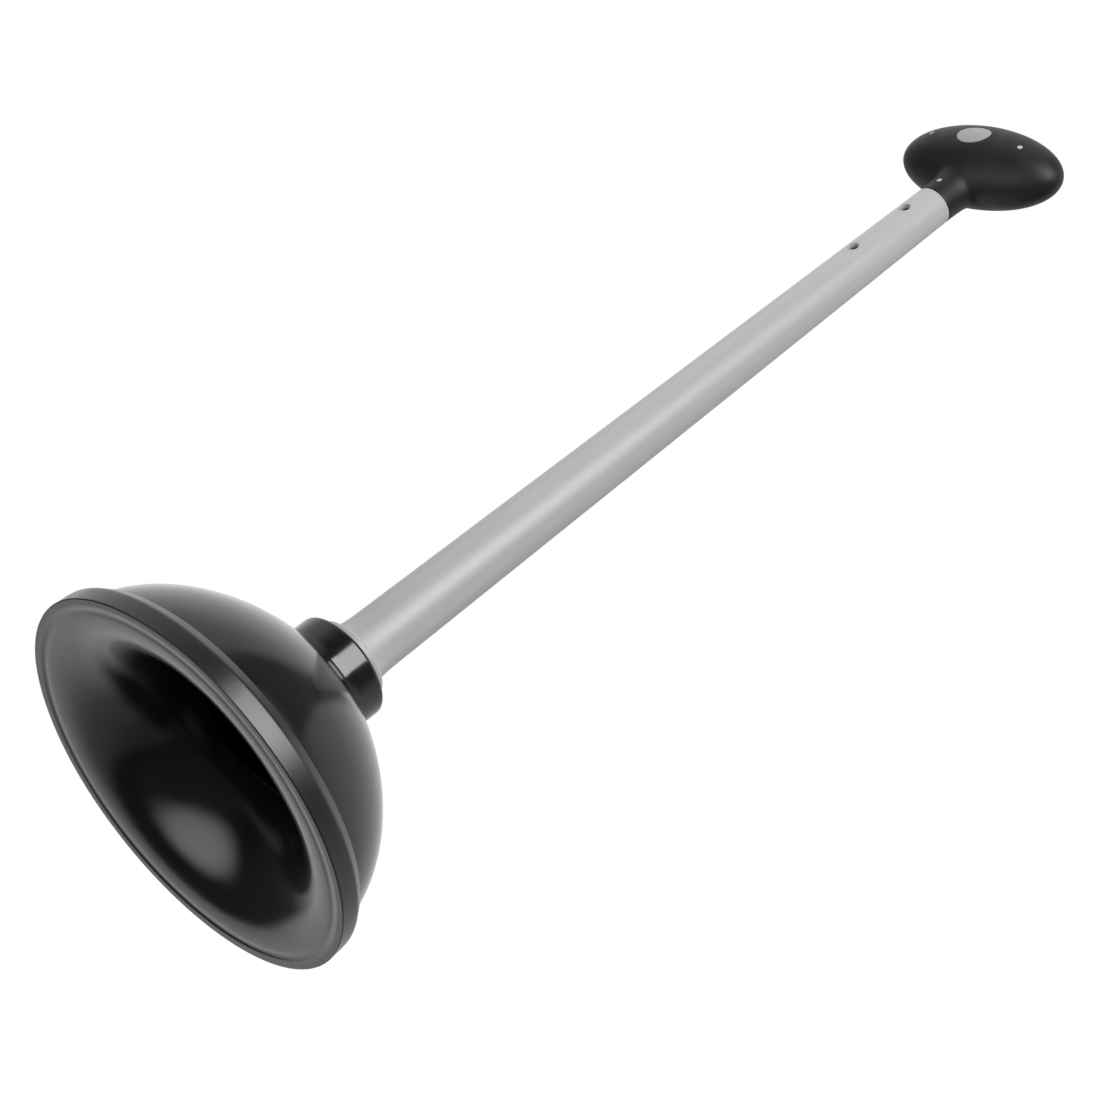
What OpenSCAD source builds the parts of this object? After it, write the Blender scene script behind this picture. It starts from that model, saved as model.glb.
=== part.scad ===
// Sink plunger: a moulded rubber force cup on a hollow tapered handle with a soft T-shaped knob.
// Millimetres, +Z up along the handle. The origin is the centre of the cup's mouth, in the plane
// that the rim rests on. The knob is long along X and its badge faces -Y.

/* [Rubber cup] */
// Diameter of the mouth, across the outside of the rim
cup_d = 152; // [140:1:165]
// Height of the straight band round the mouth
band_h = 11.5; // [10:0.5:14]
// How much the band narrows from the rim to its top, on the radius
band_taper = 3.5; // [2:0.1:5]
// Height of the band's knee, under which it is nearly straight
knee_z = 7.7; // [4:0.1:9]
// How much the band narrows from the rim to its knee, on the radius
knee_taper = 0.6; // [0:0.1:2]
// Depth of the step from the band to the dome, on the radius
band_step = 2; // [1:0.1:3]
// Height at which the dome's curve would close over the axis
dome_top_z = 74.3; // [72:0.1:78]
// Rubber wall thickness of the dome
wall = 5.5; // [4:0.1:7]
// Width of the flat face that rests on the surface
rim_face_w = 3.3; // [2:0.1:5]
// How far the skirt's curve would close in from the rim, were it carried on until upright
skirt_reach = 36.5; // [34:0.5:39]
// How high the skirt's curve would stand by then
skirt_rise = 46; // [44:0.5:48]
// Part of that quarter curve which the skirt covers, in degrees
skirt_end = 77; // [70:1:78]
// Thickness of the skirt where it leaves the rim
skirt_t = 4.5; // [4:0.1:5.5]

/* [Neck and hub] */
// Diameter of the neck that grips the handle
neck_d = 40.8; // [38:0.1:44]
// Height of the neck's top face
neck_top_z = 74.7; // [73:0.1:78]
// Radius of the thick disc inside the cup, under the neck
hub_r = 30; // [28:0.5:31]
// Height of the hub's flat underside
hub_z = 44; // [43:0.5:45]
// Height of the closed floor of the handle's socket
socket_z = 49; // [48:0.5:50]

/* [Handle tube] */
// Height of the tube's upper end
tube_top_z = 399.8; // [360:0.1:420]
// Outer diameter at the neck
tube_base_d = 22.9; // [22:0.1:24]
// Outer diameter at the upper end
tube_top_d = 16.2; // [15.6:0.1:18]
// Wall thickness of the tube
tube_wall = 2; // [1.6:0.1:2.4]
// Diameter of the flange that sits on the neck
flange_d = 31.8; // [28:0.1:34]
// Thickness of the flange
flange_h = 4; // [2.4:0.1:5]
// Diameter of the small holes near the upper end
hole_d = 5; // [3:0.1:6]
// Distance of the upper hole from the tube's upper end
hole_drop = 15.3; // [10:0.1:20]
// Distance between the two holes
hole_pitch = 31.2; // [25:0.1:40]

/* [Knob] */
// Overall length of the knob, across the handle
knob_l = 78.2; // [70:0.1:84]
// Depth of the knob, front to back
knob_t = 31.6; // [29:0.1:34]
// Height of the knob's body
knob_h = 36.3; // [34:0.1:40]
// Height of the knob's centre above the tube's upper end
knob_rise = 31; // [30:0.1:34]
// Distance from the middle to each support dot, along the knob
dot_x = 23; // [20:0.5:24]
// Diameter of a support dot
dot_d = 2.2; // [1.6:0.1:3]
// Height of the neck's dot above the tube's upper end
neck_dot_rise = 6.7; // [5:0.1:9]
// Width of the blank oval badge
badge_w = 15.8; // [14:0.1:19]
// Height of the blank oval badge
badge_h = 11.6; // [10:0.1:13]
// Thickness of the badge at its middle
badge_t = 1.8; // [1.6:0.1:2.2]

/* [Hidden] */
$fn = 96;

// How far a cutting solid runs past the face that it cuts through
over = 1;

// Rubber cup, half section
cup_r = cup_d / 2;
band_top_r = cup_r - band_taper;
shoulder = 0.9;
dome_base_r = band_top_r - band_step;
dome_centre_z = 2.7;
dome_rise = dome_top_z - dome_centre_z;
dome_reach = 116;
neck_r = neck_d / 2;
neck_edge = 1.5;
rim_edge = 0.4;
rim_inner_r = cup_r - rim_face_w;
groove_w = 3.2;
groove_depth = 0.3;
roll_r = rim_inner_r - groove_w;
roll_drop = 0.35;
cavity_base_z = 12;
cavity_fillet = 4.5;
skirt_tip_t = 3;
skirt_root = 20;
hub_edge = 1;
arc_steps = 24;

// Socket in the neck and the barbed end of the tube in it: this much air lies between them
socket_gap = 0.15;
seat_gap = 0.1;
spigot_end_gap = 0.6;
spigot_end_z = socket_z + spigot_end_gap;
barb_depth = 1.2;
barb_h = 3.5;
barb_zs = [53, 60, 67];

// Handle tube
flange_z = neck_top_z + seat_gap;
flange_edge = 1.1;
flare_h = 12;
flare_r = 0.9;
tube_base_r = tube_base_d / 2;
tube_top_r = tube_top_d / 2;
tube_draft = (tube_base_r - tube_top_r) / (tube_top_z - flange_z);
hole_zs = [tube_top_z - hole_drop, tube_top_z - hole_drop - hole_pitch];

// Knob
knob_z = tube_top_z + knob_rise;
knob_blend = 12;
knob_rings = 36;
knob_sides = 64;
core_r = 9;
core_end_x = 21;
stem_r = 5;
collar_h = 2;
collar_inset = 1.2;
dot_sink = 0.05;
neck_dot_sink = 0.1;
badge_post_d = 9.2;
plug_len = 55;
rib_t = 2;
plug_gap = 0.05;
badge_floor = knob_t / 2 - badge_t;

// Outer radius of the tube's cone at height z
function tube_r(z) = tube_top_r + (tube_top_z - z) * tube_draft;

// Points on a circular arc of radius r about [x, y], from angle a to angle b
function arc(x, y, r, a, b, n = 6) =
    [for (i = [0:n]) [x + r * cos(a + (b - a) * i / n), y + r * sin(a + (b - a) * i / n)]];

// Radius of the dome's outer surface at height z: an ellipse about a ring inside the cup
function dome_r(z) =
    dome_base_r + dome_reach * (sqrt(1 - pow((z - dome_centre_z) / dome_rise, 2))
                                - sqrt(1 - pow((band_h - dome_centre_z) / dome_rise, 2)));

// Height of the dome's outer surface at radius r
function dome_z(r) =
    dome_centre_z + dome_rise * sqrt(1 - pow((r - dome_base_r) / dome_reach
                    + sqrt(1 - pow((band_h - dome_centre_z) / dome_rise, 2)), 2));

// Slope angle of the dome's outer surface at height z, in degrees from the vertical
function dome_tilt(z) = atan2(dome_r(z - 0.05) - dome_r(z + 0.05), 0.1);

// A point of the dome's inner surface, one wall in from the outer surface at height z
function inner_dome(z) = [dome_r(z) - wall * cos(dome_tilt(z)), z - wall * sin(dome_tilt(z))];

// Height on the outer dome whose inner point stands straight over the hub's edge
hub_join_z = dome_z(hub_r + wall * 0.75);

// The dome's outer curve, from the band up to the neck
dome_curve = [for (i = [0:arc_steps])
    let (z = band_h + (dome_z(neck_r) - band_h) * sin(90 * i / arc_steps)) [dome_r(z), z]];

// The dome's inner curve, from the hub down to the skirt's root
cavity_curve = [for (i = [0:arc_steps])
    inner_dome(hub_join_z - (hub_join_z - cavity_base_z) * i / arc_steps)];

// A point of the skirt's quarter ellipse at angle t, inset from the face that lines the mouth
function skirt_point(t, inset = 0) =
    [roll_r - (skirt_reach - inset) * sin(t),
     roll_drop + skirt_rise - (skirt_rise - inset) * cos(t)];

// Inset of the skirt's hidden face at angle t: it thins evenly from its root to its end
function skirt_inset(t) = skirt_t + (skirt_tip_t - skirt_t) * t / skirt_end;

// The mouth's lining: a shallow groove inside the rim face, then the skirt folded in and up
lining_curve = concat(
    [for (a = [0:30:180]) [rim_inner_r - groove_w * a / 180, groove_depth * sin(a)
                           + roll_drop * a / 180]],
    [for (i = [1:18]) skirt_point(skirt_end * i / 18)]);

// The skirt's hidden face: the fillet at the foot of the cavity, then up to the rounded end
cavity_foot = inner_dome(cavity_base_z);
tip_front = skirt_point(skirt_end);
tip_back = skirt_point(skirt_end, skirt_tip_t);
tip_centre = (tip_front + tip_back) / 2;
tip_turn = atan2(tip_back[1] - tip_front[1], tip_back[0] - tip_front[0]);
skirt_back = concat(
    arc(cavity_foot[0] - cavity_fillet, cavity_foot[1], cavity_fillet, -15, -75, 4),
    [for (i = [0:11]) let (t = skirt_root + (skirt_end - skirt_root) * i / 12)
        skirt_point(t, skirt_inset(t))],
    arc(tip_centre[0], tip_centre[1], norm(tip_back - tip_front) / 2, tip_turn,
        tip_turn + 180, 8));

cup_section = concat(
    [[rim_inner_r, 0], [cup_r - rim_edge, 0], [cup_r, rim_edge], [cup_r - knee_taper, knee_z]],
    arc(band_top_r - shoulder, band_h - shoulder, shoulder, 0, 90, 4),
    dome_curve,
    arc(neck_r - neck_edge, neck_top_z - neck_edge, neck_edge, 0, 90, 4),
    [[0, neck_top_z], [0, hub_z]],
    arc(hub_r - hub_edge, hub_z + hub_edge, hub_edge, -90, 0, 3),
    cavity_curve,
    skirt_back,
    [for (i = [len(lining_curve) - 2:-1:1]) lining_curve[i]]);

// Barbed end shared by the tube and, one gap larger, by the socket that it fills
module barbed_end(gap) {
    bottom_z = gap > 0 ? socket_z : spigot_end_z;
    translate([0, 0, bottom_z])
        cylinder(h = neck_top_z + over - bottom_z, r = tube_base_r + gap);
    for (z = barb_zs)
        translate([0, 0, z - gap])
            cylinder(h = barb_h + 2 * gap, r1 = tube_base_r + gap,
                     r2 = tube_base_r + barb_depth + gap);
}

module rubber_cup() {
    color([0.09, 0.09, 0.09])
    difference() {
        rotate_extrude() polygon(cup_section);
        barbed_end(socket_gap);
    }
}

// Straight cone of the tube, shifted in by inset on the radius
module tube_cone(z0, z1, inset = 0) {
    translate([0, 0, z0])
        cylinder(h = z1 - z0, r1 = tube_r(z0) - inset, r2 = tube_r(z1) - inset);
}

// Half section of the flange with its rounded edge and the flare above it
module flange_section() {
    flare_z = flange_z + flange_h;
    polygon(concat(
        [[tube_base_r - over, flange_z]],
        arc(flange_d / 2 - flange_edge, flange_z + flange_edge, flange_edge, -90, 0, 4),
        arc(flange_d / 2 - flange_edge, flare_z - flange_edge, flange_edge, 0, 90, 4),
        [for (i = [0:8]) let (f = i / 8)
            [tube_r(flare_z + flare_h * f) + flare_r * pow(1 - f, 2), flare_z + flare_h * f]],
        [[tube_base_r - over, flare_z + flare_h]]));
}

module handle_tube() {
    color([0.72, 0.72, 0.73])
    difference() {
        union() {
            tube_cone(flange_z, tube_top_z);
            barbed_end(0);
            rotate_extrude() flange_section();
        }
        translate([0, 0, spigot_end_z - over])
            cylinder(h = tube_top_z + 2 * over - spigot_end_z, r1 = tube_base_r - tube_wall,
                     r2 = tube_top_r - tube_wall);
        for (z = hole_zs)
            translate([0, 0, z]) rotate([90, 0, 0])
                cylinder(h = tube_base_r + over, d = hole_d);
    }
}

// Length of a ray from the knob's centre to its skin, tilt degrees up from straight down and
// turned turn degrees about the handle: an ellipsoid blended into the round neck
function knob_reach(tilt, turn) =
    let (body = 1 / sqrt(pow(sin(tilt) * cos(turn) / (knob_l / 2), 2)
                         + pow(sin(tilt) * sin(turn) / (knob_t / 2), 2)
                         + pow(cos(tilt) / (knob_h / 2), 2)),
         neck = tilt < 90 ? tube_top_r / sin(tilt) : 0)
    pow(pow(body, knob_blend) + pow(neck, knob_blend), 1 / knob_blend);

// Tilt of ring i: close together round the neck, and even over the body
foot_tilt = atan(tube_top_r / knob_rise);
function ring_tilt(i) = foot_tilt + (180 - foot_tilt) * pow(i / knob_rings, 1.35);

// Outer skin of the knob with its neck, closed by a flat foot and a point at the crown
module knob_skin() {
    rings = [for (i = [0:knob_rings - 1], k = [0:knob_sides - 1])
        let (tilt = ring_tilt(i), turn = 360 * k / knob_sides, reach = knob_reach(tilt, turn))
        [reach * sin(tilt) * cos(turn), reach * sin(tilt) * sin(turn),
         i == 0 ? -knob_rise : -reach * cos(tilt)]];
    crown = len(rings);
    translate([0, 0, knob_z])
    polyhedron(
        points = concat(rings, [[0, 0, knob_h / 2]]),
        faces = concat(
            [[for (k = [0:knob_sides - 1]) k]],
            [for (i = [0:knob_rings - 2], k = [0:knob_sides - 1])
                let (a = i * knob_sides + k, b = i * knob_sides + (k + 1) % knob_sides)
                [a, a + knob_sides, b + knob_sides, b]],
            [for (k = [0:knob_sides - 1])
                [(knob_rings - 1) * knob_sides + k, crown,
                 (knob_rings - 1) * knob_sides + (k + 1) % knob_sides]]));
}

// Oval of the badge, from the floor of its recess to well past the front of the knob
module badge_oval() {
    translate([0, -badge_floor, knob_z]) rotate([90, 0, 0])
        linear_extrude(height = badge_t + over)
            polygon([for (a = [0:7.5:352.5]) [badge_w / 2 * cos(a), badge_h / 2 * sin(a)]]);
}

// Four ribs that press into the upper end of the tube, with the holes between them
module ribbed_plug() {
    intersection() {
        for (turn = [45, 135])
            translate([0, 0, tube_top_z - plug_len / 2]) rotate([0, 0, turn])
                cube([2 * tube_base_r, rib_t, plug_len], center = true);
        tube_cone(tube_top_z - plug_len, tube_top_z, tube_wall + plug_gap);
    }
}

// Rigid T: a cross bar with round ends on a stem, with the pads that hold it in the mould
module core_body() {
    translate([0, 0, knob_z]) {
        rotate([0, 90, 0]) cylinder(h = 2 * core_end_x, r = core_r, center = true);
        for (side = [-1, 1])
            translate([side * core_end_x, 0, 0]) sphere(r = core_r);
    }
    translate([0, 0, tube_top_z]) cylinder(h = knob_rise, r = stem_r);
    translate([0, 0, tube_top_z]) cylinder(h = collar_h, r = tube_top_r - collar_inset);
    for (x = [-dot_x, dot_x])
        translate([x, 0, knob_z]) rotate([90, 0, 0])
            cylinder(h = 2 * dot_reach(x), d = dot_d, center = true);
    translate([0, 0, tube_top_z + neck_dot_rise]) rotate([90, 0, 0])
        cylinder(h = 2 * (tube_top_r - neck_dot_sink), d = dot_d, center = true);
    translate([0, -badge_floor, knob_z]) rotate([-90, 0, 0])
        cylinder(h = badge_floor, d = badge_post_d);
}

// Half depth of the knob at x, less a hair, so that a dot ends just under the skin
function dot_reach(x) =
    knob_t / 2 * sqrt(1 - pow(2 * (abs(x) + dot_d / 2) / knob_l, 2)) - dot_sink;

module grip_core() {
    color([0.74, 0.74, 0.75])
    union() {
        core_body();
        ribbed_plug();
    }
}

module grip_cover() {
    color([0.05, 0.05, 0.05])
    difference() {
        knob_skin();
        core_body();
        badge_oval();
    }
}

module badge() {
    color([0.66, 0.66, 0.67])
    intersection() {
        knob_skin();
        badge_oval();
    }
}

rubber_cup();
handle_tube();
grip_core();
grip_cover();
badge();
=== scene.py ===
"""Looks of the sink plunger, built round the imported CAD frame.

Metres, +Z up along the handle. The cup's mouth rests on z = 0 and the badge faces -Y.
Section points below are written in millimetres and scaled by MM when a mesh is made.
"""

import math

import bpy
import numpy as np
from mathutils import Matrix, Vector, noise


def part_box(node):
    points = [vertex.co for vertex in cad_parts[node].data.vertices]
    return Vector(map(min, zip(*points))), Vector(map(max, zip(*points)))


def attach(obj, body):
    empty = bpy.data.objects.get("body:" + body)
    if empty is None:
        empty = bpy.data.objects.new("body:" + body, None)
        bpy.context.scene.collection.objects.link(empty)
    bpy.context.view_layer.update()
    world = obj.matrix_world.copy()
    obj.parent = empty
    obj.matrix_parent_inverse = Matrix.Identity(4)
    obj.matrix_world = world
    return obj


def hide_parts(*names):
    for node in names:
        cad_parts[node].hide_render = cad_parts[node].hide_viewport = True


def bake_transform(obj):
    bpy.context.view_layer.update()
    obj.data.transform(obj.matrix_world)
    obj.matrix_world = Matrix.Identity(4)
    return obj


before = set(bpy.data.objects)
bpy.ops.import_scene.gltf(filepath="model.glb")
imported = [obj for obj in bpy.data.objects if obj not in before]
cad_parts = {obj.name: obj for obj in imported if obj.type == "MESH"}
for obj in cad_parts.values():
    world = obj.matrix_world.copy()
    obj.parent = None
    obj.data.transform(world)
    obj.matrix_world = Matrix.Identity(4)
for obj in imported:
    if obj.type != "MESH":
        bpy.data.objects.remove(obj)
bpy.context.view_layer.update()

MM = 0.001

# ---------------------------------------------------------------- sizes from the frame, in mm


def high(node):
    """Highest corner of a CAD node, in mm."""
    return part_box(node)[1] / MM


def low(node):
    """Lowest corner of a CAD node, in mm."""
    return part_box(node)[0] / MM


CUP_R = high("rubber_cup").x
NECK_TOP = high("rubber_cup").z
TUBE_TOP = high("handle_tube").z
SPIGOT_END = low("handle_tube").z
FLANGE_R = high("handle_tube").x
KNOB_A = high("grip_cover").x
KNOB_B = high("grip_cover").y
KNOB_TOP = high("grip_cover").z
BADGE_A = high("badge").x
BADGE_C = (high("badge").z - low("badge").z) / 2

# Room between the end of one stretch of a section and the start of the next
POINT_GAP = 0.1

# Rubber cup: the outside. The dome is part of an ellipse, and the band bends at a soft knee.
CUP_SIDES = 240
BAND_H = 11.5
BAND_TOP_R = CUP_R - 3.5
DOME_BASE_R = BAND_TOP_R - 2.0
DOME_REACH = 116.0
DOME_CENTRE_Z = 2.7
DOME_RISE = 71.6
DOME_TOP_DROP = 0.3
STEP_FILLET = 0.5
BEAD_R = 0.7
BEAD_OUT = 0.35
KNEE_R = CUP_R - 0.6
KNEE_Z = 7.7
KNEE_BEND_R = 3.0
BAND_LOW_FROM = (KNEE_R + 0.2, KNEE_Z - 2.0)
BAND_LOW_TO = (CUP_R - 0.1, 1.0)
RIM_EDGE = 0.4
NECK_R = 20.4
NECK_EDGE = 1.6
NECK_FILLET = 1.6
NECK_BEND_R = 0.85 * NECK_FILLET
SOCKET_R = 11.6
SOCKET_EDGE = 0.5
SOCKET_Z = SPIGOT_END - 0.6

# Rubber cup: the inside. The skirt is a quarter ellipse that is folded up from the rim.
WALL = 5.5
RIM_FLAT_R = CUP_R - 0.6
RIM_INNER_R = CUP_R - 3.3
GROOVE_W = 3.2
GROOVE_DEPTH = 0.3
GROOVE_START = 0.06
ROLL_R = RIM_INNER_R - GROOVE_W
ROLL_DROP = 0.35
SKIRT_REACH = 36.5
SKIRT_RISE = 46.0
SKIRT_START = 2.0
SKIRT_ROOT = 20.0
SKIRT_END = 77.0
SKIRT_T = 4.5
SKIRT_TIP_T = 3.0
CAVITY_BASE_Z = 12.0
CAVITY_FILLET = 4.5
CAVITY_TOP_DROP = 1.5
HUB_R = 30.0
HUB_JOIN_R = HUB_R + 0.75 * WALL
HUB_Z = 44.0
HUB_EDGE = 1.2
HUB_FILLET = 1.6
HUB_FILLET_OUT = 2.6
HUB_FILLET_DROP = 1.2

# The unevenness of the soft moulding, which grows from none at one radius to all of it further out
RIPPLE = 0.28
RIPPLE_INWARD = 0.12
RIPPLE_FROM_R = 34
RIPPLE_GROWTH = 36
RIPPLE_ROUND = 1.6
RIPPLE_ALONG = 0.02

# Handle tube
TUBE_COLUMNS = 144
TUBE_BASE_R = 11.45
TUBE_END_R = 8.1
TUBE_WALL = 2.0
TUBE_EDGE = 0.35
BORE_EDGE = 0.4
SPIGOT_EDGE = 0.5
FLANGE_Z = NECK_TOP + 0.1
FLANGE_H = 4.0
FLANGE_EDGE = 1.1
FLANGE_CHAMFER = 0.4
FLARE_H = 12.0
FLARE_R = 0.9
FLARE_START = 0.0947
FLARE_FILLET = 0.75
FLARE_FILLET_OUT = 0.7
BARB_ZS = (53, 60, 67)
BARB_SHAPE = ((0, 0), (1.2, 3.3), (1.2, 3.5), (0, 3.6))

# Its holes, each let into a square patch of the wall. HOLE_WALL is (depth, radius), going in.
HOLE_R = 2.5
HOLE_ZS = (TUBE_TOP - 46.5, TUBE_TOP - 15.3)
HOLE_BEVEL = 0.3
HOLE_WALL = ((0.09, HOLE_R + 0.09), (0.3, HOLE_R), (1.1, HOLE_R))
PATCH_HALF = 4.2
PATCH_COLUMNS = 24
PATCH_RINGS = (0.22, 0.45, 0.66, 0.82, 0.93, 1.0)
PATCH_MARGIN = 8

# Knob. KNOB_FOOT is the flat foot's rings, as (radius, height above the tube).
KNOB_SIDES = 192
KNOB_RINGS = 150
KNOB_CROWDING = 1.25
KNOB_C = 18.15
KNOB_Z = KNOB_TOP - KNOB_C
KNOB_RISE = KNOB_Z - TUBE_TOP
KNOB_BLEND = 7
KNOB_FOOT_TILT = math.atan(TUBE_END_R / KNOB_RISE) + 0.004
KNOB_FOOT = ((4.0, 0.0), (TUBE_END_R - 0.3, 0.0), (TUBE_END_R - 0.08, 0.1))
OVAL_SIDES = 96
CAP_RINGS = (0.75, 0.5, 0.25)
DOT_R = 1.1
DOT_X = 23.0
NECK_DOT_Z = TUBE_TOP + 6.7

# Where the rigid core shows through the cover: (x, z, side)
DOTS = [(x, KNOB_Z, side) for x in (-DOT_X, DOT_X) for side in (-1, 1)]
DOTS += [(0.0, NECK_DOT_Z, side) for side in (-1, 1)]

# Plugs let into the knob, as layers of (growth of the oval, height above the skin), outermost first
CUT_DOT = ((0.45, 0.6), (0.22, 0.06), (0.05, -0.06), (0.0, -0.2), (0.0, -1.2))
CUT_BADGE = ((0.6, 0.8), (0.3, 0.1), (0.08, -0.06), (0.0, -0.25), (0.0, -1.6))
DOT_CAP = ((-0.16, -0.05), (-0.06, -0.08), (-0.01, -0.2), (-0.01, -1.15))
BADGE_CAP = ((-0.45, -0.12), (-0.2, -0.15), (-0.06, -0.28), (-0.02, -0.5), (-0.02, -1.55))

# Rows of faces on the rim's underside that share the band's finish
RIM_ROWS = 3

# Edges sharper than this are kept sharp, in degrees
CUP_SHARP = 40
PLASTIC_SHARP = 50
SKIN_SHARP = 35

# ---------------------------------------------------------------- mesh helpers


def add_mesh(name, verts, faces, material, sharp_from):
    """A new object from points in mm, smooth shaded but for edges of sharp_from degrees or more."""
    mesh = bpy.data.meshes.new(name)
    mesh.from_pydata([tuple(v) for v in np.asarray(verts) * MM], [], faces)
    mesh.validate()
    mesh.shade_smooth()
    mesh.set_sharp_from_angle(angle=math.radians(sharp_from))
    mesh.materials.append(material)
    obj = bpy.data.objects.new(name, mesh)
    bpy.context.scene.collection.objects.link(obj)
    return obj


def arc(x, y, r, start, end, steps):
    """Points on a circular arc about (x, y) from start to end degrees."""
    return [
        (x + r * math.cos(math.radians(a)), y + r * math.sin(math.radians(a)))
        for a in np.linspace(start, end, steps + 1)
    ]


def line(a, b, steps):
    """Points along a straight line, without its last end."""
    return [tuple(np.array(a) + (np.array(b) - np.array(a)) * f) for f in np.arange(steps) / steps]


def without_repeats(points, nearest=0.02):
    """The points of a section, without any that fall on the one before."""
    kept = [points[0]]
    for p in points[1:]:
        if math.dist(p, kept[-1]) > nearest:
            kept.append(p)
    return kept


def lathe(section, sides, ripple):
    """Vertices and faces of a section of (radius, z) turned about Z, which runs clockwise round
    the solid. Radius 0 at an end is a pole. ripple(angle, r, z) is how far a point moves out."""
    turn = np.linspace(0, 2 * math.pi, sides, endpoint=False)
    verts, rings = [], []
    for r, z in section:
        if r < 1e-6:
            rings.append([len(verts)])
            verts.append((0.0, 0.0, z))
            continue
        rings.append(list(range(len(verts), len(verts) + sides)))
        for a in turn:
            moved = r + ripple(a, r, z)
            verts.append((moved * math.cos(a), moved * math.sin(a), z))
    faces = []
    for lower, upper in zip(rings, rings[1:]):
        for k in range(sides):
            n = (k + 1) % sides
            if len(lower) == 1:
                faces.append((lower[0], upper[k], upper[n]))
            elif len(upper) == 1:
                faces.append((lower[k], upper[0], lower[n]))
            else:
                faces.append((lower[k], upper[k], upper[n], lower[n]))
    return verts, faces


# ---------------------------------------------------------------- materials


class Tree:
    """Adds and links the nodes of one node tree."""

    def __init__(self, tree):
        self.tree = tree

    def add(self, kind, **settings):
        node = self.tree.nodes.new(kind)
        for key, value in settings.items():
            setattr(node, key, value)
        return node

    def link(self, source, target):
        self.tree.links.new(source, target)


class MaterialTree(Tree):
    """A new material with its principled shader, and what its patterns are built from."""

    def __init__(self, name):
        self.material = bpy.data.materials.new(name)
        self.material.use_nodes = True
        super().__init__(self.material.node_tree)
        self.shader = self.tree.nodes["Principled BSDF"]
        self.surface = self.tree.nodes["Material Output"].inputs["Surface"]
        self.coords = self.add("ShaderNodeTexCoord").outputs["Object"]

    def stretched(self, scale):
        """Object coordinates scaled by (x, y, z)."""
        mapping = self.add("ShaderNodeMapping")
        mapping.inputs["Scale"].default_value = scale
        self.link(self.coords, mapping.inputs["Vector"])
        return mapping.outputs["Vector"]

    def noise(self, scale, detail=3.0, roughness=0.55, vector=None):
        """Noise from 0 to 1 over the surface, with scale in cells per metre."""
        node = self.add("ShaderNodeTexNoise")
        node.inputs["Scale"].default_value = scale
        node.inputs["Detail"].default_value = detail
        node.inputs["Roughness"].default_value = roughness
        self.link(vector or self.coords, node.inputs["Vector"])
        return node.outputs["Fac"]

    def spread(self, value, low_in, high_in, low_out, high_out):
        """The value moved from one range to another, held at the ends."""
        node = self.add("ShaderNodeMapRange")
        for key, number in zip(
            ("From Min", "From Max", "To Min", "To Max"), (low_in, high_in, low_out, high_out)
        ):
            node.inputs[key].default_value = number
        self.link(value, node.inputs["Value"])
        return node.outputs["Result"]

    def mix(self, factor, colour_a, colour_b):
        """Colour between a and b."""
        node = self.add("ShaderNodeMix", data_type="RGBA")
        node.inputs[6].default_value = (*colour_a, 1)
        node.inputs[7].default_value = (*colour_b, 1)
        self.link(factor, node.inputs[0])
        return node.outputs[2]

    def bump(self, height, distance, strength=1.0, under=None):
        """A bump of so many metres, on top of the bump under it."""
        node = self.add("ShaderNodeBump")
        node.inputs["Distance"].default_value = distance
        node.inputs["Strength"].default_value = strength
        self.link(height, node.inputs["Height"])
        if under:
            self.link(under, node.inputs["Normal"])
        return node.outputs["Normal"]


def clouded(tree, scale, dark, light):
    """Base colour that drifts between two near blacks, like bloom on rubber."""
    cloud = tree.spread(tree.noise(scale, detail=4), 0.35, 0.7, 0, 1)
    tree.link(tree.mix(cloud, dark, light), tree.shader.inputs["Base Color"])


def uneven_gloss(tree, pattern, roughness, swing):
    """Roughness that a noise pattern moves by so much either way."""
    gloss = tree.spread(pattern, 0.3, 0.7, roughness - swing, roughness + swing)
    tree.link(gloss, tree.shader.inputs["Roughness"])


def black_rubber(name, roughness, grain):
    """Moulded black rubber: fine tooling grain of so many metres, cloudy bloom and uneven gloss."""
    tree = MaterialTree(name)
    clouded(tree, 28, RUBBER_DARK, RUBBER_LIGHT)
    uneven_gloss(tree, tree.noise(75), roughness, 0.03)
    slow = tree.bump(tree.noise(60, detail=2), distance=0.00012, strength=0.5)
    fine = tree.noise(2600, detail=2, roughness=0.6)
    tree.link(tree.bump(fine, distance=grain, under=slow), tree.shader.inputs["Normal"])
    return tree.material


def soft_grip(name):
    """Matte overmoulded elastomer: an even eroded texture that breaks up every highlight."""
    tree = MaterialTree(name)
    clouded(tree, 40, GRIP_DARK, GRIP_LIGHT)
    uneven_gloss(tree, tree.noise(130), roughness=0.54, swing=0.04)
    tree.shader.inputs["Specular IOR Level"].default_value = 0.36
    eroded = tree.noise(3200, detail=2, roughness=0.7)
    tree.link(tree.bump(eroded, distance=0.00003, strength=0.8), tree.shader.inputs["Normal"])
    return tree.material


def silver_plastic(name, dark, light, roughness, streaks):
    """Silver-grey moulded plastic: fine flake, and faint flow marks. Streaks draw the flow marks
    out along the handle."""
    tree = MaterialTree(name)
    flake = tree.noise(5200, detail=1, roughness=0.5)
    if streaks:
        flow = tree.noise(150, detail=4, roughness=0.6, vector=tree.stretched((1.0, 1.0, 0.035)))
    else:
        flow = tree.noise(110)
    colour = tree.mix(tree.spread(flow, 0.3, 0.72, 0, 1), dark, light)
    tree.link(colour, tree.shader.inputs["Base Color"])
    uneven_gloss(tree, flake, roughness, 0.05)
    tree.shader.inputs["Diffuse Roughness"].default_value = 0.3
    slow = tree.bump(flow, distance=0.00006, strength=0.5)
    tree.link(tree.bump(flake, distance=0.000012, strength=0.8, under=slow), tree.shader.inputs["Normal"])
    return tree.material


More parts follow.
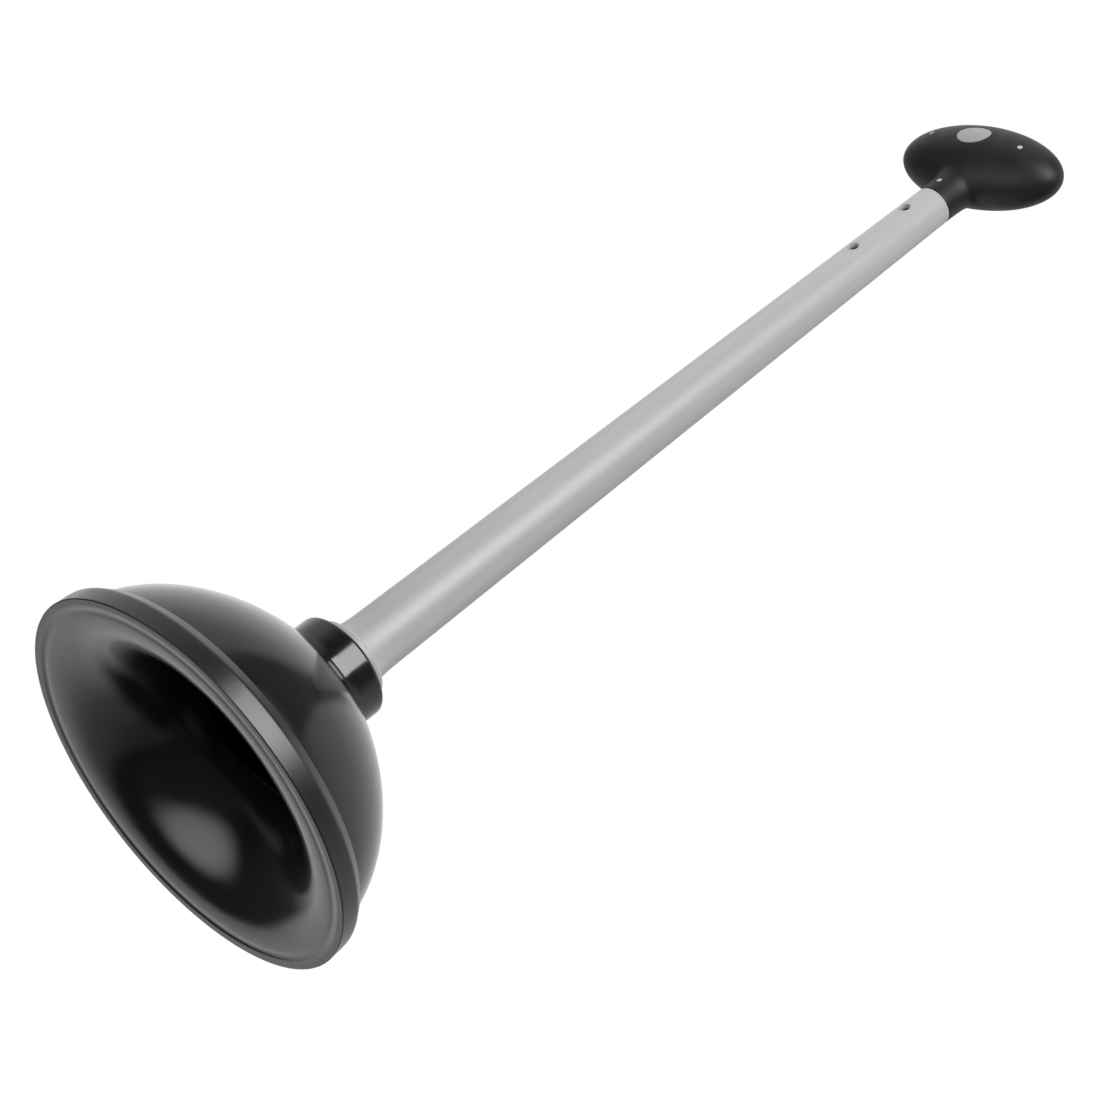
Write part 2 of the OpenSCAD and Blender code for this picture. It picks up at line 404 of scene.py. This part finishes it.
RUBBER_DARK, RUBBER_LIGHT = (0.0045, 0.0045, 0.0047), (0.0068, 0.0068, 0.007)
GRIP_DARK, GRIP_LIGHT = (0.0052, 0.0052, 0.0054), (0.0075, 0.0075, 0.0077)
TUBE_DARK, TUBE_LIGHT = (0.345, 0.345, 0.348), (0.405, 0.405, 0.408)
CORE_DARK, CORE_LIGHT = (0.36, 0.36, 0.362), (0.40, 0.40, 0.402)
BADGE_DARK, BADGE_LIGHT = (0.27, 0.27, 0.272), (0.30, 0.30, 0.302)

CUP_DOME = black_rubber("rubber_dome", roughness=0.14, grain=0.000003)
CUP_BAND = black_rubber("rubber_band", roughness=0.32, grain=0.000016)
CUP_INSIDE = black_rubber("rubber_inside", roughness=0.18, grain=0.000002)
TUBE_PLASTIC = silver_plastic("tube_plastic", TUBE_DARK, TUBE_LIGHT, roughness=0.42, streaks=True)
CORE_PLASTIC = silver_plastic("core_plastic", CORE_DARK, CORE_LIGHT, roughness=0.45, streaks=False)
BADGE_PLASTIC = silver_plastic("badge_plastic", BADGE_DARK, BADGE_LIGHT, roughness=0.45, streaks=False)
GRIP_TPE = soft_grip("grip_tpe")

# ---------------------------------------------------------------- rubber cup


def dome_across(z):
    """Share of the dome's reach that is left at height z."""
    return math.sqrt(1 - ((z - DOME_CENTRE_Z) / DOME_RISE) ** 2)


def dome_r(z):
    """Radius of the dome's outer surface at height z."""
    return DOME_BASE_R + DOME_REACH * (dome_across(z) - dome_across(BAND_H))


def dome_z(r):
    """Height of the dome's outer surface at radius r."""
    across = (r - DOME_BASE_R) / DOME_REACH + dome_across(BAND_H)
    return DOME_CENTRE_Z + DOME_RISE * math.sqrt(1 - across**2)


def inner_dome(z):
    """The point one wall in from the dome's outer surface at height z."""
    step = 0.05
    tilt = math.atan2(dome_r(z - step) - dome_r(z + step), 2 * step)
    return dome_r(z) - WALL * math.cos(tilt), z - WALL * math.sin(tilt)


def skirt_point(angle, inset=0.0):
    """A point of the folded skirt's quarter ellipse at an angle, inset from its visible face."""
    turn = math.radians(angle)
    return (ROLL_R - (SKIRT_REACH - inset) * math.sin(turn),
            ROLL_DROP + SKIRT_RISE - (SKIRT_RISE - inset) * math.cos(turn))


def skirt_inset(angle):
    """Thickness of the skirt at an angle. It thins evenly towards its end."""
    return SKIRT_T + (SKIRT_TIP_T - SKIRT_T) * angle / SKIRT_END


def cup_outside():
    """Section from the socket's floor out over the neck and the dome to the band's top."""
    neck_foot = dome_z(NECK_R + NECK_FILLET)
    dome_top = neck_foot - DOME_TOP_DROP
    dome_heights = BAND_H + (dome_top - BAND_H) * np.cos(np.linspace(0, math.pi / 2, 81))
    return (
        line((0, SOCKET_Z), (SOCKET_R, SOCKET_Z), 6)
        + line((SOCKET_R, SOCKET_Z), (SOCKET_R, NECK_TOP - SOCKET_EDGE), 12)
        + arc(SOCKET_R + SOCKET_EDGE, NECK_TOP - SOCKET_EDGE, SOCKET_EDGE, 180, 90, 4)
        + line((SOCKET_R + SOCKET_EDGE + POINT_GAP, NECK_TOP), (NECK_R - NECK_EDGE, NECK_TOP), 8)
        + arc(NECK_R - NECK_EDGE, NECK_TOP - NECK_EDGE, NECK_EDGE, 90, 0, 8)
        + line((NECK_R, NECK_TOP - NECK_EDGE), (NECK_R, neck_foot + NECK_FILLET), 8)
        + arc(NECK_R + NECK_FILLET, neck_foot + NECK_BEND_R, NECK_BEND_R, 180, 245, 6)
        + [(dome_r(z), z) for z in dome_heights]
    )


def cup_band():
    """Section of the step, the thin bead on the band's shoulder, and the band down to the rim."""
    lower = math.atan2(CUP_R - KNEE_R, KNEE_Z)
    upper = math.atan2(KNEE_R - BAND_TOP_R, BAND_H - KNEE_Z)
    reach = KNEE_BEND_R * math.tan((upper - lower) / 2)
    bend_r = KNEE_R + reach * math.sin(lower) - KNEE_BEND_R * math.cos(lower)
    bend_z = KNEE_Z - reach * math.cos(lower) - KNEE_BEND_R * math.sin(lower)
    upper_turn, lower_turn = math.degrees(upper), math.degrees(lower)
    return (
        arc(DOME_BASE_R + STEP_FILLET, BAND_H + STEP_FILLET / 2, STEP_FILLET, 200, 268, 3)
        + arc(BAND_TOP_R + BEAD_OUT - BEAD_R, BAND_H - BEAD_R, BEAD_R, 90, upper_turn, 10)
        + arc(bend_r, bend_z, KNEE_BEND_R, upper_turn, lower_turn, 12)
        + line(BAND_LOW_FROM, BAND_LOW_TO, 8)
        + arc(CUP_R - RIM_EDGE, RIM_EDGE, RIM_EDGE, 0, -90, 8)
    )


def cup_inside():
    """Section of the rim face, the folded skirt, the cavity behind it and the hub, to the axis."""
    groove = [
        (RIM_INNER_R - GROOVE_W * t, GROOVE_DEPTH * math.sin(math.pi * t) + ROLL_DROP * t)
        for t in np.linspace(GROOVE_START, 1, 12)
    ]
    front, back = skirt_point(SKIRT_END), skirt_point(SKIRT_END, SKIRT_TIP_T)
    tip_r, tip_z = (front[0] + back[0]) / 2, (front[1] + back[1]) / 2
    tip_turn = math.degrees(math.atan2(back[1] - front[1], back[0] - front[0]))
    foot_r, foot_z = inner_dome(CAVITY_BASE_Z)
    join_z = dome_z(HUB_JOIN_R)
    fillet_z = inner_dome(join_z)[1] - HUB_FILLET_DROP
    return (
        line((RIM_FLAT_R, 0), (RIM_INNER_R + 2 * POINT_GAP, 0), 4)
        + groove
        + [skirt_point(angle) for angle in np.linspace(SKIRT_START, SKIRT_END, 64)]
        + arc(tip_r, tip_z, math.dist(front, back) / 2, tip_turn + 180, tip_turn, 12)
        + [skirt_point(angle, skirt_inset(angle)) for angle in np.linspace(SKIRT_END, SKIRT_ROOT, 32)]
        + arc(foot_r - CAVITY_FILLET, foot_z, CAVITY_FILLET, -75, -8, 10)
        + [inner_dome(z) for z in np.linspace(CAVITY_BASE_Z, join_z - CAVITY_TOP_DROP, 60)]
        + arc(HUB_R + HUB_FILLET_OUT, fillet_z, HUB_FILLET, 60, 170, 6)
        + arc(HUB_R - HUB_EDGE, HUB_Z + HUB_EDGE, HUB_EDGE, 0, -90, 6)
        + line((HUB_R - HUB_EDGE - POINT_GAP, HUB_Z), (0, HUB_Z), 10)
        + [(0, HUB_Z)]
    )


def rubber_ripple(angle, r, z):
    """The small unevenness of a soft moulding, in mm, which fades out towards the stiff neck."""
    give = max(0.0, min(1.0, (r - RIPPLE_FROM_R) / RIPPLE_GROWTH))
    at = Vector((math.cos(angle) * RIPPLE_ROUND, math.sin(angle) * RIPPLE_ROUND, z * RIPPLE_ALONG))
    return give * (RIPPLE * noise.noise(at) - RIPPLE_INWARD)


def make_cup():
    """The whole cup in one mesh, with its own finish on the dome, the band and the inside."""
    outside, band, inside = cup_outside(), cup_band(), cup_inside()
    verts, faces = lathe(without_repeats(outside + band + inside), CUP_SIDES, rubber_ripple)
    cup = add_mesh("cup", verts, faces, CUP_DOME, CUP_SHARP)
    cup.data.materials.append(CUP_BAND)
    cup.data.materials.append(CUP_INSIDE)
    band_from = len(without_repeats(outside))
    inside_from = len(without_repeats(outside + band)) + RIM_ROWS
    for i, polygon in enumerate(cup.data.polygons):
        ring = i // CUP_SIDES
        polygon.material_index = (ring >= band_from) + (ring >= inside_from)
    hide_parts("rubber_cup")
    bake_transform(cup)


# ---------------------------------------------------------------- handle tube


def tube_r(z):
    """Outer radius of the tube's straight cone at height z."""
    return TUBE_END_R + (TUBE_TOP - z) * (TUBE_BASE_R - TUBE_END_R) / (TUBE_TOP - FLANGE_Z)


def bore_r(z):
    """Radius of the tube's bore at height z."""
    share = (z - SPIGOT_END) / (TUBE_TOP - SPIGOT_END)
    return TUBE_BASE_R - TUBE_WALL + share * (TUBE_END_R - TUBE_BASE_R)


def patch_heights():
    """Evenly spaced heights across the holes' patches."""
    return [h for z in HOLE_ZS for h in np.linspace(z - PATCH_HALF, z + PATCH_HALF, PATCH_COLUMNS + 1)]


def tube_outside():
    """Section up the spigot, its barbs, the flange, the flare and the cone, to the upper end."""
    top = FLANGE_Z + FLANGE_H
    barbs = [(TUBE_BASE_R + out, z + up) for z in BARB_ZS for out, up in BARB_SHAPE]
    flare = [(tube_r(top + FLARE_H * f) + FLARE_R * (1 - f) ** 2, top + FLARE_H * f)
             for f in np.linspace(FLARE_START, 1, 15)]
    cone = sorted(list(np.linspace(top + FLARE_H + 4, HOLE_ZS[0] - PATCH_MARGIN, 14))
                  + patch_heights() + [TUBE_TOP - 5, TUBE_TOP - 1.5])
    return (
        [(TUBE_BASE_R - SPIGOT_EDGE, SPIGOT_END), (TUBE_BASE_R, SPIGOT_END + SPIGOT_EDGE)]
        + barbs
        + [(TUBE_BASE_R, FLANGE_Z - FLANGE_CHAMFER), (TUBE_BASE_R + FLANGE_CHAMFER, FLANGE_Z)]
        + arc(FLANGE_R - FLANGE_EDGE, FLANGE_Z + FLANGE_EDGE, FLANGE_EDGE, -90, 0, 6)
        + arc(FLANGE_R - FLANGE_EDGE, top - FLANGE_EDGE, FLANGE_EDGE, 0, 88, 6)
        + arc(tube_r(top) + FLARE_R + FLARE_FILLET_OUT, top + FLARE_FILLET, FLARE_FILLET, 268, 190, 5)
        + flare
        + [(tube_r(z), z) for z in cone]
        + arc(TUBE_END_R - TUBE_EDGE, TUBE_TOP - TUBE_EDGE, TUBE_EDGE, 0, 80, 4)
    )


def tube_bore():
    """Section of the bore from the spigot's end to the upper end, with a small chamfer there."""
    heights = sorted(list(np.linspace(SPIGOT_END, HOLE_ZS[0] - PATCH_MARGIN, 8))
                     + patch_heights() + [TUBE_TOP - BORE_EDGE])
    return [(bore_r(z), z) for z in heights] + [(bore_r(TUBE_TOP) + BORE_EDGE, TUBE_TOP)]


class Shell:
    """Collects the vertices and faces of one wall of the tube, with round holes let into it."""

    def __init__(self, verts, faces, rows, radius_at, hole_r, outward):
        """rows are (radius, z) and radius_at(z) is the wall's. Faces look outward or inward."""
        self.verts, self.faces = verts, faces
        self.radius_at, self.outward = radius_at, outward
        self.rings = [self.ring(r, z) for r, z in rows]
        half = PATCH_COLUMNS // 2
        spans = [self.patch_rows(rows, z) for z in HOLE_ZS]
        for i in range(len(rows) - 1):
            beside_hole = any(first <= i < last for first, last in spans)
            for k in range(TUBE_COLUMNS):
                if beside_hole and (k < half or k >= TUBE_COLUMNS - half):
                    continue
                n = (k + 1) % TUBE_COLUMNS
                self.face(self.rings[i][k], self.rings[i][n], self.rings[i + 1][n], self.rings[i + 1][k])
        self.hole_edges = [self.let_in_hole(z, span, hole_r) for z, span in zip(HOLE_ZS, spans)]

    def ring(self, r, z):
        """A new ring of vertices, which starts at the front."""
        start = len(self.verts)
        for k in range(TUBE_COLUMNS):
            a = 2 * math.pi * k / TUBE_COLUMNS - math.pi / 2
            self.verts.append((r * math.cos(a), r * math.sin(a), z))
        return range(start, start + TUBE_COLUMNS)

    @staticmethod
    def patch_rows(rows, hole_z):
        """The first and last row of a hole's patch."""
        inside = [i for i, (_, z) in enumerate(rows) if abs(z - hole_z) < PATCH_HALF + 0.01]
        return inside[0], inside[-1]

    def face(self, a, b, c, d):
        """A quad that looks the way the wall does."""
        self.faces.append((a, b, c, d) if self.outward else (d, c, b, a))

    def boundary(self, span):
        """Vertices round a patch, counter-clockwise as seen from the front."""
        first, last = span
        half = PATCH_COLUMNS // 2
        columns = list(range(-half, half + 1))
        loop = [self.rings[first][k] for k in columns]
        loop += [self.rings[i][half] for i in range(first + 1, last + 1)]
        loop += [self.rings[last][k] for k in reversed(columns[:-1])]
        loop += [self.rings[i][-half] for i in range(last - 1, first, -1)]
        return loop

    def let_in_hole(self, z, span, hole_r):
        """Rings from the patch's square edge in to the hole. Gives the last of them."""
        square = self.boundary(span)
        corners = [self.verts[v] for v in square]
        previous = square
        for f in PATCH_RINGS:
            ring = []
            for x, _, corner_z in corners:
                turn = math.atan2(corner_z - z, x)
                new_x = x + (hole_r * math.cos(turn) - x) * f
                new_z = corner_z + (z + hole_r * math.sin(turn) - corner_z) * f
                ring.append(self.on_wall(new_x, new_z, self.radius_at(new_z)))
            self.bridge(previous, ring)
            previous = ring
        return previous

    def on_wall(self, x, z, r):
        """A new vertex on the front of a cylinder of radius r."""
        self.verts.append((x, -math.sqrt(r * r - x * x), z))
        return len(self.verts) - 1

    def bridge(self, outer, inner):
        """Faces between two rings of equal length."""
        for k in range(len(outer)):
            n = (k + 1) % len(outer)
            self.face(outer[k], outer[n], inner[n], inner[k])

    def sink(self, ring, depth, radius, z):
        """The next ring down a hole's wall, so deep below the tube's outer surface."""
        result = []
        for v in ring:
            x, _, old_z = self.verts[v]
            turn = math.atan2(old_z - z, x)
            new_x, new_z = radius * math.cos(turn), z + radius * math.sin(turn)
            result.append(self.on_wall(new_x, new_z, tube_r(new_z) - depth))
        return result


def make_tube():
    """Both walls of the tube, joined at its ends and through its two holes."""
    verts, faces = [], []
    outside = Shell(verts, faces, without_repeats(tube_outside()), tube_r, HOLE_R + HOLE_BEVEL, True)
    inside = Shell(verts, faces, tube_bore(), bore_r, HOLE_R, False)
    for z, outer_edge, inner_edge in zip(HOLE_ZS, outside.hole_edges, inside.hole_edges):
        ring = outer_edge
        for depth, radius in HOLE_WALL:
            lower = outside.sink(ring, depth, radius, z)
            outside.bridge(ring, lower)
            ring = lower
        outside.bridge(ring, inner_edge)
    inside.bridge(outside.rings[0], inside.rings[0])
    outside.bridge(outside.rings[-1], inside.rings[-1])
    tube = add_mesh("tube", verts, faces, TUBE_PLASTIC, PLASTIC_SHARP)
    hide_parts("handle_tube")
    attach(tube, "handle")


# ---------------------------------------------------------------- knob


def knob_reach(tilt, turn):
    """Distance from the knob's centre to its skin: an ellipsoid blended into the round neck.
    tilt is up from straight down and turn is about Z, both in radians."""
    body = 1 / math.sqrt(
        (math.sin(tilt) * math.cos(turn) / KNOB_A) ** 2
        + (math.sin(tilt) * math.sin(turn) / KNOB_B) ** 2
        + (math.cos(tilt) / KNOB_C) ** 2
    )
    neck = TUBE_END_R / math.sin(tilt) if tilt < math.pi / 2 else 0.0
    return (body**KNOB_BLEND + neck**KNOB_BLEND) ** (1 / KNOB_BLEND)


def skin_depth(x, z):
    """How far the knob's front skin stands from the X-Z plane, at x and z in mm."""
    dz = z - KNOB_Z
    inside = 1 - (x / KNOB_A) ** 2 - (dz / KNOB_C) ** 2
    body = KNOB_B * math.sqrt(inside) if inside > 0 else 0.0
    neck = math.sqrt(max(0.0, TUBE_END_R**2 - x * x)) if dz < 0 else 0.0
    return max(body, neck)


def knob_mesh():
    """The knob's whole skin with its neck and the flat foot that meets the tube."""
    turns = np.linspace(0, 2 * math.pi, KNOB_SIDES, endpoint=False)
    verts, faces = [], []
    for r, lift in KNOB_FOOT:
        verts += [(r * math.cos(a), r * math.sin(a), TUBE_TOP + lift) for a in turns]
    for i in range(KNOB_RINGS):
        tilt = KNOB_FOOT_TILT + (math.pi - KNOB_FOOT_TILT) * (i / KNOB_RINGS) ** KNOB_CROWDING
        for a in turns:
            reach = knob_reach(tilt, a)
            out = reach * math.sin(tilt)
            verts.append((out * math.cos(a), out * math.sin(a), KNOB_Z - reach * math.cos(tilt)))
    foot_centre, crown = len(verts), len(verts) + 1
    verts += [(0, 0, TUBE_TOP), (0, 0, KNOB_Z + KNOB_C)]
    starts = range(0, foot_centre, KNOB_SIDES)
    for k in range(KNOB_SIDES):
        n = (k + 1) % KNOB_SIDES
        faces.append((n, k, foot_centre))
        faces.append((starts[-1] + k, starts[-1] + n, crown))
        for lower, upper in zip(starts, starts[1:]):
            faces.append((lower + k, lower + n, upper + n, upper + k))
    return verts, faces


class OvalPlug:
    """A closed oval piece let into the knob's skin, centred at x and z with half sizes a and c.
    side is -1 for the front and 1 for the back. Its rings follow the skin."""

    def __init__(self, x, z, a, c, side, layers):
        self.x, self.z, self.a, self.c, self.side = x, z, a, c, side
        self.verts, self.faces = [], []
        rings = [self.ring(grow, height) for grow, height in layers]
        for outer, inner in zip(rings, rings[1:]):
            self.bridge(outer, inner, False)
        self.cap(rings[0], layers[0], True)
        self.cap(rings[-1], layers[-1], False)

    def add(self, x, z, height):
        """A new vertex at a height above the skin."""
        self.verts.append((x, self.side * (skin_depth(x, z) + height), z))

    def ring(self, grow, height, share=1.0):
        """A new ring, grown outward and then shrunk to a share of its size."""
        start = len(self.verts)
        for k in range(OVAL_SIDES):
            t = 2 * math.pi * k / OVAL_SIDES
            self.add(self.x + (self.a + grow) * share * math.cos(t),
                     self.z + (self.c + grow) * share * math.sin(t), height)
        return range(start, start + OVAL_SIDES)

    def cap(self, edge, layer, outermost):
        """Closes a ring with rings that shrink to its middle."""
        grow, height = layer
        for share in CAP_RINGS:
            inner = self.ring(grow, height, share)
            self.bridge(edge, inner, outermost)
            edge = inner
        self.add(self.x, self.z, height)
        self.bridge(edge, [len(self.verts) - 1] * OVAL_SIDES, outermost)

    def bridge(self, outer, inner, outermost):
        """Faces between two rings, or between a ring and the middle."""
        for k in range(OVAL_SIDES):
            n = (k + 1) % OVAL_SIDES
            corners = [outer[k], outer[n], inner[n], inner[k]]
            corners = corners if inner[n] != inner[k] else corners[:3]
            forward = (self.side < 0) == outermost
            self.faces.append(tuple(corners if forward else reversed(corners)))


def oval_piece(name, material, x, z, a, c, side, layers):
    """A new object from an oval plug."""
    plug = OvalPlug(x, z, a, c, side, layers)
    return add_mesh(name, plug.verts, plug.faces, material, PLASTIC_SHARP)


def cut(obj, cutters):
    """Takes the cutters out of obj, and removes them."""
    for cutter in cutters:
        modifier = obj.modifiers.new("cut", "BOOLEAN")
        modifier.operation = "DIFFERENCE"
        modifier.solver = "EXACT"
        modifier.object = cutter
    graph = bpy.context.evaluated_depsgraph_get()
    mesh = bpy.data.meshes.new_from_object(obj.evaluated_get(graph))
    obj.modifiers.clear()
    obj.data = mesh
    for cutter in cutters:
        bpy.data.objects.remove(cutter)
    mesh.shade_smooth()
    mesh.set_sharp_from_angle(angle=math.radians(SKIN_SHARP))


def make_knob():
    """The soft cover with its pockets, the core's dots in them and the badge."""
    cover = add_mesh("grip_skin", *knob_mesh(), GRIP_TPE, PLASTIC_SHARP)
    cutters = [oval_piece(f"cut_{i}", GRIP_TPE, x, z, DOT_R, DOT_R, side, CUT_DOT)
               for i, (x, z, side) in enumerate(DOTS)]
    cutters.append(oval_piece("cut_badge", GRIP_TPE, 0, KNOB_Z, BADGE_A, BADGE_C, -1, CUT_BADGE))
    cut(cover, cutters)
    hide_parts("grip_cover")
    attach(cover, "handle")
    for i, (x, z, side) in enumerate(DOTS):
        dot = oval_piece(f"core_dot_{i}", CORE_PLASTIC, x, z, DOT_R, DOT_R, side, DOT_CAP)
        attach(dot, "handle")
    badge = oval_piece("badge_plate", BADGE_PLASTIC, 0, KNOB_Z, BADGE_A, BADGE_C, -1, BADGE_CAP)
    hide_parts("badge")
    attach(badge, "handle")


def finish_core():
    """The CAD core stays: its ribs are seen through the tube's holes."""
    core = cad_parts["grip_core"]
    core.data.materials.clear()
    core.data.materials.append(CORE_PLASTIC)


# ---------------------------------------------------------------- camera, floor and light

# The camera, in metres, with its lens and sensor in mm
CAMERA_AT = Vector((0.9058, -0.6253, -0.4517))
LOOK_AT = Vector((0.00760, 0.01073, 0.16785))
CAMERA_ROLL = math.radians(51.805)
LENS = 114.545
SENSOR = 36

# The key light: a direction along the camera's right, up and back, and sizes in metres
KEY_DIRECTION = (0.662, 0.512, 0.548)
KEY_TARGET = Vector((0, 0, 0.03))
KEY_DISTANCE = 1.1
KEY_WIDTH = 0.62
KEY_HEIGHT = 0.73
KEY_RADIANCE = 10

# The floor fades out between these distances from the origin, in metres
FLOOR_HALF = 6.0
FLOOR_FADE = (0.2, 0.6)


def camera_axes():
    """The camera's right, up and back directions."""
    forward = (LOOK_AT - CAMERA_AT).normalized()
    level_right = forward.cross(Vector((0, 0, 1))).normalized()
    level_up = level_right.cross(forward)
    up = level_up * math.cos(CAMERA_ROLL) - level_right * math.sin(CAMERA_ROLL)
    right = forward.cross(up)
    return right, up, -forward


def make_camera():
    """The camera at the photograph's viewing angle."""
    data = bpy.data.cameras.new("camera")
    data.lens = LENS
    data.sensor_width = SENSOR
    data.clip_start = 0.05
    camera = bpy.data.objects.new("camera", data)
    camera.matrix_world = (
        Matrix.Translation(CAMERA_AT) @ Matrix(camera_axes()).transposed().to_4x4()
    )
    bpy.context.scene.collection.objects.link(camera)
    bpy.context.scene.camera = camera


def from_camera(across, up, back):
    """An axis with these parts along the camera's right, up and back. Its length is theirs."""
    right_axis, up_axis, back_axis = camera_axes()
    return right_axis * across + up_axis * up + back_axis * back


def make_key_light():
    """One large softbox of an even radiance, square on to the cup, that is not itself seen."""
    direction = from_camera(*KEY_DIRECTION).normalized()
    across = camera_axes()[2].cross(direction).normalized()
    turn = Matrix((direction.cross(across), across, direction)).transposed()
    data = bpy.data.lights.new("key", "AREA")
    data.shape = "RECTANGLE"
    data.size, data.size_y = KEY_WIDTH, KEY_HEIGHT
    data.energy = KEY_RADIANCE * math.pi * KEY_WIDTH * KEY_HEIGHT
    light = bpy.data.objects.new("key", data)
    light.matrix_world = Matrix.Translation(KEY_TARGET + direction * KEY_DISTANCE) @ turn.to_4x4()
    light.visible_camera = False
    bpy.context.scene.collection.objects.link(light)


class WorldTree(Tree):
    """The world's light. Each mask is a number that depends on a direction."""

    def __init__(self, tree):
        super().__init__(tree)
        self.direction = self.add("ShaderNodeTexCoord").outputs["Generated"]

    def ramp(self, value, kind, **ends):
        """A value moved from one range to another. An underscore in a key stands for a space."""
        ramp = self.add("ShaderNodeMapRange", interpolation_type=kind)
        for key, number in ends.items():
            ramp.inputs[key.replace("_", " ")].default_value = number
        self.link(value, ramp.inputs["Value"])
        return ramp.outputs["Result"]

    def towards(self, axis, start, end, low, high):
        """low to high, as a direction's part along an axis goes from start to end."""
        dot = self.add("ShaderNodeVectorMath", operation="DOT_PRODUCT")
        dot.inputs[1].default_value = from_camera(*axis)
        self.link(self.direction, dot.inputs[0])
        return self.ramp(dot.outputs["Value"], "SMOOTHSTEP",
                         From_Min=start, From_Max=end, To_Min=low, To_Max=high)

    def share_of(self, value, low, high):
        """low to high, as a value goes from 0 to 1."""
        return self.ramp(value, "LINEAR", To_Min=low, To_Max=high)

    def combine(self, operation, first, *others):
        """All the masks multiplied, or the largest of them."""
        for other in others:
            node = self.add("ShaderNodeMath", operation=operation)
            self.link(first, node.inputs[0])
            self.link(other, node.inputs[1])
            first = node.outputs[0]
        return first

    def product(self, *masks):
        return self.combine("MULTIPLY", *masks)

    def largest(self, *masks):
        return self.combine("MAXIMUM", *masks)

    def background(self):
        """White light from all round, whose strength is an input."""
        node = self.add("ShaderNodeBackground")
        node.inputs["Color"].default_value = (1, 1, 1, 1)
        return node


# Axes along the camera's right, up and back. ASIDE is square to the length of the handle.
RIGHT, UP, BACK = (1, 0, 0), (0, 1, 0), (0, 0, 1)
ASIDE = (0.614, -0.789, 0.0)
UNDER_KEY = (0.614, -0.789, -0.3)
TOWARDS_KEY = (0.614, -0.789, 0.9)
BEHIND_ABOVE = (0, 0.55, -0.84)
TABLE_LEFT = (-0.894, 0, 0.447)
TABLE_FRONT = (0.474, -0.639, -0.609)
GLOW = (-0.80, -0.06, 0.60)


def dark_housing(tree):
    """Where the key light's dark housing and pole stand before the backdrop."""
    housing = tree.product(
        tree.towards(UNDER_KEY, start=0.16, end=0.24, low=1, high=0),
        tree.towards(TOWARDS_KEY, start=-0.72, end=-0.55, low=0, high=1),
    )
    pole = tree.product(
        tree.towards(ASIDE, start=-0.05, end=-0.01, low=0, high=1),
        tree.towards(ASIDE, start=0.06, end=0.10, low=1, high=0),
    )
    on_the_right = tree.towards(RIGHT, start=0.25, end=0.45, low=0, high=1)
    return tree.product(tree.largest(housing, pole), on_the_right)


def backdrop(tree):
    """The white backdrop behind the object, weaker towards its left and lower edges."""
    return tree.product(
        tree.towards(BACK, start=0.35, end=-0.15, low=0.12, high=0.92),
        tree.towards(RIGHT, start=-0.75, end=-0.35, low=0.1, high=1.0),
        tree.towards(UP, start=-0.92, end=-0.6, low=0, high=1.0),
        tree.towards(UP, start=-0.5, end=0.1, low=0.8, high=1.0),
        tree.towards(BEHIND_ABOVE, start=0.8, end=1.0, low=1.0, high=1.35),
        tree.share_of(dark_housing(tree), low=1.0, high=0.22),
    )


def table(tree):
    """The white table below the object, weaker behind it and towards the camera."""
    return tree.product(
        tree.towards(TABLE_LEFT, start=-0.15, end=0.05, low=0, high=1.0),
        tree.towards(TABLE_FRONT, start=0.03, end=0.17, low=0, high=1),
        tree.towards(UP, start=-0.15, end=-0.32, low=0, high=1),
        tree.towards(BACK, start=-0.5, end=0.0, low=1.0, high=0.5),
        tree.towards(BACK, start=0.1, end=0.5, low=1.0, high=0.5),
    )


def make_world():
    """White where the camera sees it. The light on the object comes from a white backdrop, a white
    table and a soft glow on the camera's left, in an otherwise dark studio."""
    world = bpy.data.worlds.new("studio")
    bpy.context.scene.world = world
    world.use_nodes = True
    world.node_tree.nodes.clear()
    tree = WorldTree(world.node_tree)
    glow = tree.towards(GLOW, start=0.85, end=0.99, low=0.03, high=2.9)
    lit, seen = tree.background(), tree.background()
    tree.link(tree.largest(backdrop(tree), table(tree), glow), lit.inputs["Strength"])
    choose = tree.add("ShaderNodeMixShader")
    tree.link(tree.add("ShaderNodeLightPath").outputs["Is Camera Ray"], choose.inputs["Fac"])
    tree.link(lit.outputs[0], choose.inputs[1])
    tree.link(seen.outputs[0], choose.inputs[2])
    tree.link(choose.outputs[0], tree.add("ShaderNodeOutputWorld").inputs["Surface"])


def make_floor():
    """A pale floor under the rim that fades into the backdrop. The camera looks up from below it,
    so its underside is clear."""
    corners = [(x * FLOOR_HALF, y * FLOOR_HALF, 0) for x, y in ((-1, -1), (1, -1), (1, 1), (-1, 1))]
    mesh = bpy.data.meshes.new("floor")
    mesh.from_pydata(corners, [], [(0, 1, 2, 3)])
    floor = bpy.data.objects.new("floor", mesh)
    bpy.context.scene.collection.objects.link(floor)
    tree = MaterialTree("pale_floor")
    tree.shader.inputs["Base Color"].default_value = (0.86, 0.86, 0.855, 1)
    tree.shader.inputs["Roughness"].default_value = 0.7
    away = tree.add("ShaderNodeVectorMath", operation="LENGTH")
    tree.link(tree.coords, away.inputs[0])
    far = tree.spread(away.outputs["Value"], *FLOOR_FADE, 0, 1)
    unseen = tree.add("ShaderNodeMath", operation="MAXIMUM")
    tree.link(tree.add("ShaderNodeNewGeometry").outputs["Backfacing"], unseen.inputs[0])
    tree.link(far, unseen.inputs[1])
    choose = tree.add("ShaderNodeMixShader")
    tree.link(unseen.outputs[0], choose.inputs["Fac"])
    tree.link(tree.shader.outputs[0], choose.inputs[1])
    tree.link(tree.add("ShaderNodeBsdfTransparent").outputs[0], choose.inputs[2])
    tree.link(choose.outputs[0], tree.surface)
    mesh.materials.append(tree.material)
    floor.visible_shadow = False
    floor.visible_diffuse = False
    floor.visible_glossy = False
    floor.visible_transmission = False


make_cup()
make_tube()
make_knob()
finish_core()
make_camera()
make_floor()
make_key_light()
make_world()
bpy.context.scene.view_settings.view_transform = "Standard"
